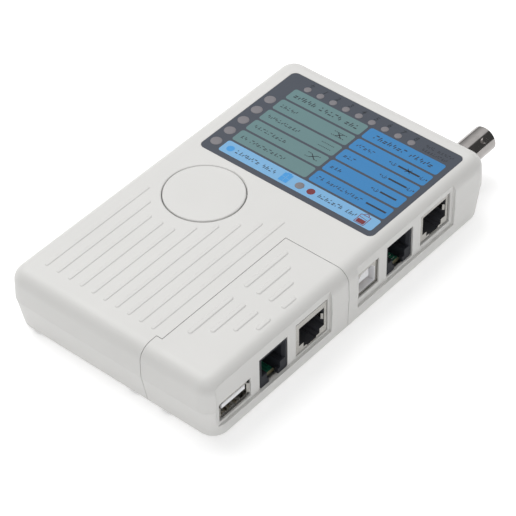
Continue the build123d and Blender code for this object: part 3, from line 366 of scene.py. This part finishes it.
# The places and sizes of what is printed are in millimetres, in the CAD model's x and y.
ROWS = 5                  # green and blue rows; the pale strip is the next row down
ROW_TOP = 57.2            # top edge of the first row of fields
ROW_PITCH = 7.08
ROW_HEIGHT = 6.15
GREEN_X = (-29.0, 3.1)
BLUE_X = (4.2, 35.9)
STRIP_X = (-29.0, 36.1)


def row_y(row):
    """The y range of one row of fields."""
    top = ROW_TOP - ROW_PITCH * row
    return (top - ROW_HEIGHT, top)


def row_middle(row):
    return sum(row_y(row)) / 2


class Print:
    """One ink on the panel, given in millimetres."""

    def __init__(self, name):
        self.name = name
        self.bm = bmesh.new()

    def shape(self, outline, layer=MARK_LAYER):
        add_prism(self.bm, [(x * MM, y * MM) for x, y in outline], *layer)

    def field(self, x, y, corner=1.0, layer=FIELD_LAYER):
        self.shape(rounded_rectangle(x, y, corner), layer)

    def disc(self, centre, diameter):
        self.shape(circle(centre, diameter / 2, 24))

    def ring(self, centre, diameter, width, from_angle, to_angle, steps):
        """Part of a ring, as a row of short flat pieces."""
        outer = arc(centre, diameter / 2, from_angle, to_angle, steps)
        inner = arc(centre, diameter / 2 - width, from_angle, to_angle, steps)
        for i in range(steps):
            self.shape([outer[i], outer[i + 1], inner[i + 1], inner[i]])

    def line(self, start, end, width, layer=MARK_LAYER):
        along = Vector(end) - Vector(start)
        side = Vector((-along.y, along.x)).normalized() * width / 2
        corners = [Vector(start) + side, Vector(start) - side, Vector(end) - side, Vector(end) + side]
        self.shape([(c.x, c.y) for c in corners], layer)

    def dashes(self, start, end, count, width):
        """A broken line. Each dash takes up the inked share of its pitch."""
        inked = 0.62
        start, end = Vector(start), Vector(end)
        for i in range(count):
            self.line(start.lerp(end, i / count), start.lerp(end, (i + inked) / count), width)

    def finish(self):
        return piece_from(self.bm, self.name, INK[self.name], "main_unit")


# Marks that stand in for lettering: each is a few strokes in a cell, and none is a letter.
# A stroke is (left, bottom, right, top) as shares of the cell.
STANDINS = (
    ((0.05, 0.0, 0.27, 1.0), (0.50, 0.0, 0.72, 0.62)),
    ((0.05, 0.0, 0.70, 0.24), (0.05, 0.42, 0.70, 0.66)),
    ((0.22, 0.0, 0.44, 1.0), (0.58, 0.0, 0.76, 0.26)),
    ((0.05, 0.38, 0.27, 1.0), (0.50, 0.0, 0.72, 0.62)),
    ((0.05, 0.0, 0.72, 0.24), (0.05, 0.74, 0.30, 1.0)),
    ((0.05, 0.0, 0.27, 0.60), (0.50, 0.38, 0.72, 1.0)),
    ((0.05, 0.76, 0.72, 1.0), (0.05, 0.0, 0.30, 0.26)),
)
SLANT = 0.22              # the marks lean to the right by this share of their height
WORD_GAP = 0.8            # gap between two words, in cells
TITLE_HEIGHT = 2.0        # heights of the marks in each place
CAPTION_HEIGHT = 1.45
STRIP_MARK_HEIGHT = 1.7
CORNER_MARK_HEIGHT = 1.2


def greeked(ink, x, middle, height, words, seed):
    """A run of stand-in marks over the x range. words gives the number of marks in each word."""
    rng = random.Random(seed)
    cells = sum(words) + WORD_GAP * (len(words) - 1)
    pitch = (x[1] - x[0]) / cells
    left = x[0]
    low = middle - height / 2
    last = None
    for word in words:
        for _ in range(word):
            mark = rng.choice([m for m in STANDINS if m is not last])
            last = mark
            for x0, y0, x1, y1 in mark:
                corners = [(x0, y0), (x1, y0), (x1, y1), (x0, y1)]
                ink.shape([(left + (u + SLANT * v * height / pitch) * pitch, low + v * height)
                           for u, v in corners])
            left += pitch
        left += WORD_GAP * pitch


def coloured_fields():
    """The green and blue rows, and the pale strip under them, which takes more print later."""
    green = Print("print_green")
    blue = Print("print_blue")
    for row in range(ROWS):
        green.field(GREEN_X, row_y(row))
        blue.field(BLUE_X, row_y(row))
    green.finish()
    blue.finish()
    pale = Print("print_pale")
    pale.field(STRIP_X, row_y(ROWS))
    return pale


def captions(dark, start, ends_and_words, first_seed):
    """One run of marks on each row under the title. They begin in line and end where they end."""
    for i, (end, words) in enumerate(ends_and_words):
        greeked(dark, (start, end), row_middle(i + 1), CAPTION_HEIGHT, words, first_seed + i)


def row_marks(dark):
    """Stand-in lettering on the fields, and two short lines beside the pin lamps."""
    greeked(dark, (-27.1, 1.0), row_middle(0), TITLE_HEIGHT, (5, 5, 3), 1)
    greeked(dark, (7.7, 32.6), row_middle(0), TITLE_HEIGHT, (7, 5), 2)
    captions(dark, -27.3, ((-20.1, (5,)), (-13.4, (9,)), (-13.3, (9,)), (-8.2, (2, 10))), 10)
    captions(dark, 5.9, ((13.3, (5,)), (10.7, (3,)), (10.7, (3,)), (24.7, (2, 10))), 20)
    greeked(dark, (-23.5, -6.0), row_middle(ROWS), STRIP_MARK_HEIGHT, (7, 4), 30)
    greeked(dark, (12.0, 27.8), row_middle(ROWS), STRIP_MARK_HEIGHT, (7, 3), 31)
    greeked(dark, (24.2, 35.6), 61.3, CORNER_MARK_HEIGHT, (3, 5), 40)
    greeked(dark, (24.2, 34.6), 59.0, CORNER_MARK_HEIGHT, (9,), 41)


def wire_signs(dark):
    """Pictures of a pair of wires on three green rows: crossed and joined, straight, and crossed."""
    x = (-4.5, 1.05)
    spread = 1.05             # how far each wire is from the row's middle
    lead = 1.6                # length of the straight stretch at each end
    dash, crossing = 0.3, 0.34
    for row in (1, 2, 3):
        middle = row_middle(row)
        upper, lower = middle + spread, middle - spread
        if row == 2:
            dark.dashes((x[0], upper), (x[1], upper), 8, dash)
            dark.dashes((x[0], lower), (x[1], lower), 8, dash)
            continue
        entry, leave = x[0] + lead, x[1] - lead
        for start_y, end_y in ((upper, lower), (lower, upper)):
            dark.dashes((x[0], start_y), (entry, start_y), 2, dash)
            dark.dashes((leave, end_y), (x[1], end_y), 2, dash)
            dark.line((entry, start_y), (leave, end_y), crossing)
        if row == 1:
            dark.dashes((entry, upper), (leave, upper), 3, dash)
            dark.dashes((entry, lower), (leave, lower), 3, dash)


def plug_sign(dark, x, y, side):
    """A round plug as an open ring, a bar across it and a pointed tip. side is 1 or -1, along X."""
    ring_from, ring_to = 75, 285      # degrees from straight up, round by the tip's side
    bar_x, bar_half = 0.3, 0.75
    tip_from, tip_to, tip_half = 1.4, 2.1, 0.45
    dark.ring((x, y), 1.9, 0.2, 90 - side * ring_from, 90 - side * ring_to, 10)
    dark.line((x - side * bar_x, y + bar_half), (x - side * bar_x, y - bar_half), 0.18)
    dark.shape([(x + side * tip_from, y + tip_half),
                (x + side * tip_to, y),
                (x + side * tip_from, y - tip_half)])


def cable_signs(dark):
    """Pictures of a coaxial lead on the blue rows: with two plugs, with one, and bare."""
    cable, cross = 0.80, 0.26         # widths of the strokes
    # row, x of each plug, ends of the lead
    signs = (
        (1, (21.6, 33.4), (23.3, 32.2)),
        (2, (23.1, 33.4), (24.7, 32.2)),
        (3, (25.1,), (26.7, 33.4)),
        (4, (), (26.4, 34.6)),
    )
    for row, plugs, ends in signs:
        y = row_middle(row)
        for i, x in enumerate(plugs):
            plug_sign(dark, x, y, -1 if i == 0 else 1)
        dark.line((ends[0], y), (ends[1], y), cable)
    x, y = 27.7, row_middle(1)
    for side in (-1, 1):
        dark.line((x - 1.0, y - side * 1.0), (x + 1.0, y + side * 1.0), cross)


def earth_sign(dark, x):
    """An earth sign: a short upright line over three bars that get shorter."""
    top, bar_y, bar_pitch, stroke = 63.0, 62.2, 0.55, 0.24
    for step, half in enumerate((0.9, 0.6, 0.3)):
        y = bar_y - bar_pitch * step
        dark.line((x - half, y), (x + half, y), stroke)
    dark.line((x, bar_y), (x, top), stroke)


def digit(number, x):
    """One number, leaning a little."""
    baseline = 61.1
    half_depth = 0.006 * MM
    curve = bpy.data.curves.new("digit", "FONT")
    curve.body = str(number)
    curve.size = 2.75 * MM
    curve.align_x = "CENTER"
    curve.shear = 0.25
    curve.extrude = half_depth
    curve.offset = 0.05 * MM
    text = bpy.data.objects.new(f"print_digit_{number}", curve)
    text.location = (x * MM, baseline * MM, MARK_LAYER[0] + half_depth)
    bpy.context.scene.collection.objects.link(text)
    curve.materials.append(INK["print_dark"].material)
    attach(text, "main_unit")


def lamp_signs(dark):
    """An earth sign over the first pin lamp, and numbers over the others."""
    for i, (low, high) in enumerate(islands("pin_leds")):
        x = (low.x + high.x) / 2 / MM
        if i == 0:
            earth_sign(dark, x)
        else:
            digit(i, x)


def full_battery_sign(sky, pale):
    """A blue upright battery with a pale cross on it."""
    x, y = (-3.7, -0.15), (16.6, 21.0)
    cap_half, cap_height = 0.9, 0.4
    inset, stroke = 0.3, 0.16
    middle = sum(x) / 2
    sky.field(x, y, 0.3, MARK_LAYER)
    sky.field((middle - cap_half, middle + cap_half), (y[1], y[1] + cap_height), 0.1, MARK_LAYER)
    pale.line((middle, y[0] + 0.4), (middle, y[1] - 0.4), stroke, TOP_MARK_LAYER)
    pale.line((x[0] + inset, 18.9), (x[1] - inset, 18.7), stroke, TOP_MARK_LAYER)


def low_battery_sign(red):
    """A red outline of a battery with a handle, and little left in it."""
    x, y = (28.7, 32.6), (16.3, 20.6)
    red.field((x[0] + 0.35, x[1] - 0.35), (y[0] + 0.3, y[0] + 2.2), 0.2, MARK_LAYER)
    corners = [(x[0], y[0]), (x[1], y[0]), (x[1], y[1]), (x[0], y[1])]
    for i in range(4):
        red.line(corners[i], corners[(i + 1) % 4], 0.24)
    red.ring((sum(x) / 2, y[1]), 2.2, 0.26, 0, 180, 8)
    red.line((x[0] + 0.3, 19.4), (x[1] - 0.3, 18.9), 0.2)


def print_panel():
    """All the print. The strip has a blue dot at its left end and a red one past its middle."""
    strip_y = 18.6
    pale = coloured_fields()
    dark = Print("print_dark")
    sky = Print("print_sky")
    red = Print("print_red")
    row_marks(dark)
    wire_signs(dark)
    cable_signs(dark)
    lamp_signs(dark)
    full_battery_sign(sky, pale)
    low_battery_sign(red)
    sky.disc((-25.8, strip_y), 2.9)
    red.disc((9.0, strip_y), 3.0)
    for ink in (pale, dark, sky, red):
        ink.finish()


print_panel()


# =====================================================================================
# Lamp windows: each is embossed into a low dome
# =====================================================================================

def add_dome(bm, centre, radius, rise):
    """A low dome on the panel, in rings from the rim up, closed underneath."""
    sides = 32
    # each ring's radius as a share of the dome's, and its height as a share of the rise
    profile = ((1.0, -0.05), (1.0, 0.10), (0.93, 0.45), (0.80, 0.75), (0.60, 0.92), (0.35, 0.99))
    rings = []
    for share, height in profile:
        z = PANEL_TOP + height * rise
        rings.append([bm.verts.new((x, y, z)) for x, y in circle(centre.xy, radius * share, sides)])
    for lower, upper in zip(rings, rings[1:]):
        for i in range(sides):
            j = (i + 1) % sides
            bm.faces.new((lower[i], lower[j], upper[j], upper[i])).smooth = True
    peak = bm.verts.new((centre.x, centre.y, PANEL_TOP + rise))
    for i in range(sides):
        bm.faces.new((rings[-1][i], rings[-1][(i + 1) % sides], peak)).smooth = True
    bm.faces.new(reversed(rings[0]))


def lamp_windows():
    bm = bmesh.new()
    for low, high in islands("panel_windows"):
        add_dome(bm, (low + high) / 2, (high.x - low.x) / 2, 0.16 * MM)
    windows = piece_from(bm, "lamp_windows", SURFACES["window_film"], "main_unit")
    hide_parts("panel_windows")


lamp_windows()


# =====================================================================================
# Board print at the mouth of the main six-way jack
# =====================================================================================

def board_print():
    """Three rows of small white bars on the main board, seen through the jack's slot."""
    surface = Surface("board_print", (0.70, 0.70, 0.68), 0.6)
    surface.tint(0.3 * MM, 0.2, detail=1.0)
    first_row, row_pitch = 1.0 * MM, 1.5 * MM      # in from the board's edge
    bar_pitch, bar_half_width = 1.1 * MM, 0.1 * MM
    long_half, short_half = 0.45 * MM, 0.28 * MM
    board_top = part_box("main_board")[1].z
    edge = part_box("main_board")[1].x
    jack_low, jack_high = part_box("main_rj11_housing")
    middle = (jack_low.y + jack_high.y) / 2
    bm = bmesh.new()
    for row in range(3):
        x = edge - (first_row + row_pitch * row)
        for i in range(-2, 3):
            y = middle + bar_pitch * i
            half = long_half if (i + row) % 2 else short_half
            outline = [(x - bar_half_width, y - half), (x + bar_half_width, y - half),
                       (x + bar_half_width, y + half), (x - bar_half_width, y + half)]
            add_prism(bm, outline, board_top, board_top + 0.02 * MM)
    piece_from(bm, "board_print", surface, "main_unit")


board_print()


# =====================================================================================
# Floor, light and camera
# =====================================================================================

def lay_floor():
    """A pale square floor, a hair below the case so that the two faces don't fight."""
    half = 2500 * MM
    height = -0.03 * MM
    bm = bmesh.new()
    corners = [(-half, -half), (half, -half), (half, half), (-half, half)]
    bm.faces.new([bm.verts.new((x, y, height)) for x, y in corners])
    mesh = bpy.data.meshes.new("floor")
    bm.to_mesh(mesh)
    bm.free()
    floor = bpy.data.objects.new("floor", mesh)
    bpy.context.scene.collection.objects.link(floor)
    surface = Surface("floor", (0.80, 0.80, 0.80), 0.85,
                      Emission_Color=(1, 1, 1, 1), Emission_Strength=0.40)
    surface.tint(120 * MM, 0.01)
    mesh.materials.append(surface.material)


def soft_box(name, place, size, power):
    """A square studio light that faces the object. Place and size are in metres, power in watts."""
    light = bpy.data.lights.new(name, "AREA")
    light.shape = "SQUARE"
    light.size = size
    light.energy = power
    lamp = bpy.data.objects.new(name, light)
    lamp.location = place
    lamp.rotation_euler = (-Vector(place)).to_track_quat("-Z", "Y").to_euler()
    bpy.context.scene.collection.objects.link(lamp)


def light_world():
    """A soft surround, brightest overhead, with a shaded side at the front left.

    A dark flag low down on the far right gives the round coaxial barrel its dark band.
    """
    world = bpy.data.worlds.new("studio")
    bpy.context.scene.world = world
    world.use_nodes = True
    tree = world.node_tree
    background = tree.nodes["Background"]
    background.inputs["Strength"].default_value = 1.08
    direction = tree.nodes.new("ShaderNodeTexCoord").outputs["Generated"]

    def ramp_towards(aim, low, high):
        """0 to 1, as the direction turns towards the aim, from the cosine low to the cosine high."""
        towards = tree.nodes.new("ShaderNodeVectorMath")
        towards.operation = "DOT_PRODUCT"
        towards.inputs[1].default_value = Vector(aim).normalized()
        tree.links.new(direction, towards.inputs[0])
        ramp = tree.nodes.new("ShaderNodeMapRange")
        ramp.inputs["From Min"].default_value = low
        ramp.inputs["From Max"].default_value = high
        tree.links.new(towards.outputs["Value"], ramp.inputs["Value"])
        return ramp.outputs["Result"]

    def mixed(first, second, share):
        """Grey levels, given as a number or as a socket, mixed by a share."""
        mix = tree.nodes.new("ShaderNodeMix")
        mix.data_type = "RGBA"
        for value, socket in ((first, mix.inputs["A"]), (second, mix.inputs["B"])):
            if isinstance(value, float):
                socket.default_value = (value, value, value, 1)
            else:
                tree.links.new(value, socket)
        tree.links.new(share, mix.inputs["Factor"])
        return mix.outputs["Result"]

    overhead = (0.10, 0.12, 0.98)
    front_left = (-0.35, -0.90, 0.10)
    far_right = (0.66, 0.56, 0.52)
    surround = mixed(0.24, 1.0, ramp_towards(overhead, 0.0, 0.75))
    shaded = mixed(surround, 0.20, ramp_towards(front_left, 0.45, 0.95))
    flagged = mixed(shaded, 0.10, ramp_towards(far_right, 0.79, 0.85))
    tree.links.new(flagged, background.inputs["Color"])


lay_floor()
light_world()
soft_box("key", (-0.70, 0.15, 1.20), 1.1, 8.8)


def place_camera():
    """A long lens from the front right, high up, with the frame shifted a little."""
    azimuth = math.radians(40.83)
    elevation = math.radians(42.55)
    roll = math.radians(-1.08)
    distance = 787.2 * MM
    aim_right = 0.41 * MM
    aim_up = 6.56 * MM
    back = Vector((math.sin(azimuth) * math.cos(elevation), -math.cos(azimuth) * math.cos(elevation),
                   math.sin(elevation)))
    level = Vector((math.cos(azimuth), math.sin(azimuth), 0.0))
    upright = back.cross(level)
    right = math.cos(roll) * level + math.sin(roll) * upright
    up = math.cos(roll) * upright - math.sin(roll) * level
    data = bpy.data.cameras.new("camera")
    data.sensor_width = 36.0
    data.lens = 164.5
    data.shift_x = 0.0041
    data.shift_y = -0.0221
    data.clip_start = 0.02
    camera = bpy.data.objects.new("camera", data)
    turn = Matrix((right, up, back)).transposed().to_4x4()
    camera.matrix_world = Matrix.Translation(right * aim_right + up * aim_up + back * distance) @ turn
    bpy.context.scene.collection.objects.link(camera)
    bpy.context.scene.camera = camera


place_camera()
bpy.context.scene.view_settings.view_transform = "Standard"
